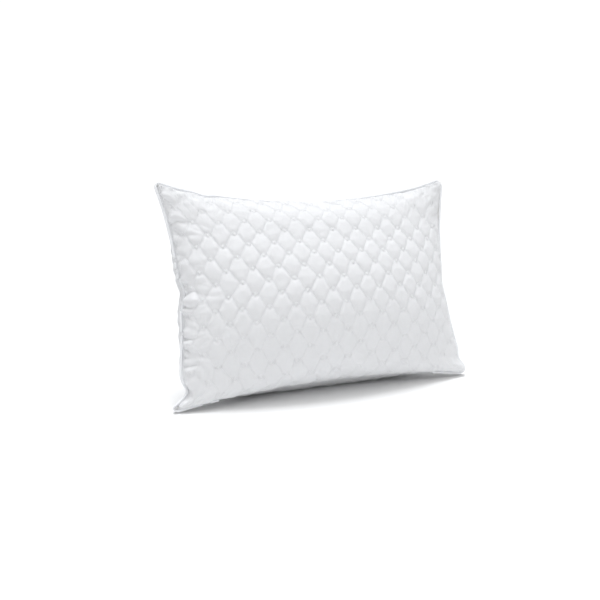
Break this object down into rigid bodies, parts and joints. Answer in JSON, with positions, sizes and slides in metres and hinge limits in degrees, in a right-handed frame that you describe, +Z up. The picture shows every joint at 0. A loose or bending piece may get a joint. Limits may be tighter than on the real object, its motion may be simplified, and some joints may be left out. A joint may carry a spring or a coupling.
{
  "type": "bed pillow",
  "caption": "Plump white bed pillow with wave-quilted panels and corded piping, standing on one long edge and leaning back slightly.",
  "frame": {"origin": "on the floor, under the middle of the pillow's bounding box", "axes": "+X along the long side, +Y from the front panel towards the back panel, +Z up; the pillow stands on its lower long edge"},
  "size_m": [0.7158, 0.2179, 0.4638],
  "materials": {
    "face_cloth": "white woven microfibre, soft satin sheen",
    "wadding": "white polyester wadding, matt and lofty",
    "backing": "thin white non-woven scrim, matt",
    "thread": "white twisted polyester sewing thread",
    "piping": "white bias-cut microfibre strip, soft sheen",
    "cord": "off-white twisted cotton filler cord",
    "fibre": "loose white polyester fibre, crimped"
  },
  "bodies": {
    "root": {"front_face_cloth": "face_cloth", "front_wadding": "wadding", "front_backing": "backing", "front_quilting_thread": "thread", "back_face_cloth": "face_cloth", "back_wadding": "wadding", "back_backing": "backing", "back_quilting_thread": "thread", "piping_cover": "piping", "piping_cord": "cord", "seam_thread": "thread", "overlock_thread": "thread", "closing_stitches": "thread", "fibre_fill": "fibre"}
  },
  "joints": []
}
